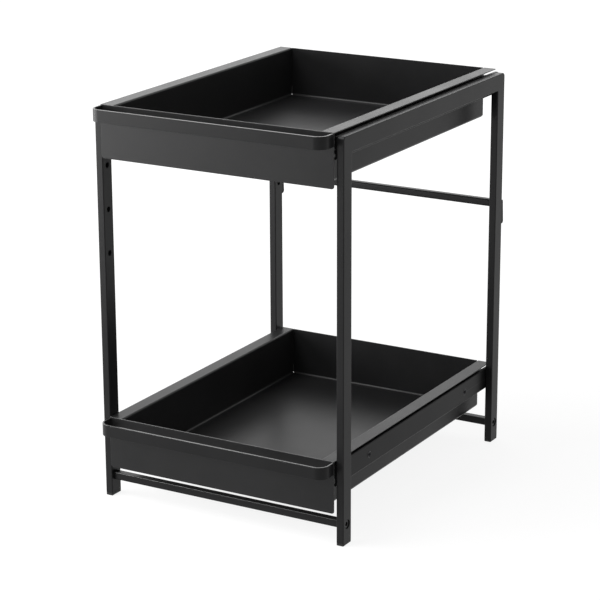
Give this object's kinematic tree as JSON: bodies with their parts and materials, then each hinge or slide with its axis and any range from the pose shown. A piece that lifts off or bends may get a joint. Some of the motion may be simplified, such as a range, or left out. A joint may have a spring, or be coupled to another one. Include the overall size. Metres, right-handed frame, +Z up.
{
  "type": "under sink organizer",
  "caption": "Free-standing steel rack for the cupboard under a sink, with shallow trays that pull out on ball-bearing slides by strip handles.",
  "frame": {"origin": "on the floor, under the middle of the overall width and depth, with the trays pushed in", "axes": "+X to the right as seen from the front, +Y from the handles to the back, +Z up"},
  "size_m": [0.3, 0.404, 0.442],
  "materials": {
    "black_paint": "fine-textured powder coat, satin",
    "slide_black": "dark plated steel, semi-gloss",
    "cage_steel": "zinc-plated sheet",
    "ball_steel": "polished",
    "bolt_black": "black oxide",
    "insert_steel": "zinc-plated",
    "rivet_steel": "dark plated steel",
    "foot_plastic": "moulded, matt",
    "bumper_rubber": "matt"
  },
  "bodies": {
    "frame": {"front_left_leg": "black_paint", "front_right_leg": "black_paint", "rear_left_leg": "black_paint", "rear_right_leg": "black_paint", "left_top_rail": "black_paint", "right_top_rail": "black_paint", "front_cross_bar": "black_paint", "rear_cross_bar": "black_paint", "upper_rear_cross_bar": "black_paint", "front_left_foot": "foot_plastic", "front_right_foot": "foot_plastic", "rear_left_foot": "foot_plastic", "rear_right_foot": "foot_plastic", "left_wall_bumper": "bumper_rubber", "right_wall_bumper": "bumper_rubber", "cross_bar_bolts": "bolt_black", "cross_bar_nuts": "insert_steel", "upper_bar_plugs": "black_paint", "upper_left_bracket": "black_paint", "upper_right_bracket": "black_paint", "lower_left_bracket": "black_paint", "lower_right_bracket": "black_paint", "bracket_bolts": "bolt_black", "bracket_nuts": "insert_steel", "channel_rivets": "rivet_steel", "upper_left_channel": "slide_black", "upper_right_channel": "slide_black", "lower_left_channel": "slide_black", "lower_right_channel": "slide_black"},
    "upper_tray": {"upper_pan": "black_paint", "upper_front_panel": "black_paint", "upper_handle": "black_paint", "upper_left_runner": "slide_black", "upper_right_runner": "slide_black"},
    "upper_left_ball_cage": {"upper_left_cage": "cage_steel", "upper_left_balls": "ball_steel"},
    "upper_right_ball_cage": {"upper_right_cage": "cage_steel", "upper_right_balls": "ball_steel"},
    "lower_tray": {"lower_pan": "black_paint", "lower_front_panel": "black_paint", "lower_handle": "black_paint", "lower_left_runner": "slide_black", "lower_right_runner": "slide_black"},
    "lower_left_ball_cage": {"lower_left_cage": "cage_steel", "lower_left_balls": "ball_steel"},
    "lower_right_ball_cage": {"lower_right_cage": "cage_steel", "lower_right_balls": "ball_steel"}
  },
  "joints": [
    {"name": "upper_tray_slide", "type": "slide", "parent": "frame", "child": "upper_tray", "axis": [0, -1, 0], "range_m": [0, 0.25]},
    {"name": "lower_tray_slide", "type": "slide", "parent": "frame", "child": "lower_tray", "axis": [0, -1, 0], "range_m": [0, 0.25]},
    {"name": "upper_left_cage_slide", "type": "slide", "parent": "frame", "child": "upper_left_ball_cage", "axis": [0, -1, 0], "range_m": [0, 0.125]},
    {"name": "upper_right_cage_slide", "type": "slide", "parent": "frame", "child": "upper_right_ball_cage", "axis": [0, -1, 0], "range_m": [0, 0.125]},
    {"name": "lower_left_cage_slide", "type": "slide", "parent": "frame", "child": "lower_left_ball_cage", "axis": [0, -1, 0], "range_m": [0, 0.125]},
    {"name": "lower_right_cage_slide", "type": "slide", "parent": "frame", "child": "lower_right_ball_cage", "axis": [0, -1, 0], "range_m": [0, 0.125]}
  ],
  "couplings": [
    {"joint": "upper_left_cage_slide", "follows": "upper_tray_slide", "ratio": 0.5},
    {"joint": "upper_right_cage_slide", "follows": "upper_tray_slide", "ratio": 0.5},
    {"joint": "lower_left_cage_slide", "follows": "lower_tray_slide", "ratio": 0.5},
    {"joint": "lower_right_cage_slide", "follows": "lower_tray_slide", "ratio": 0.5}
  ]
}
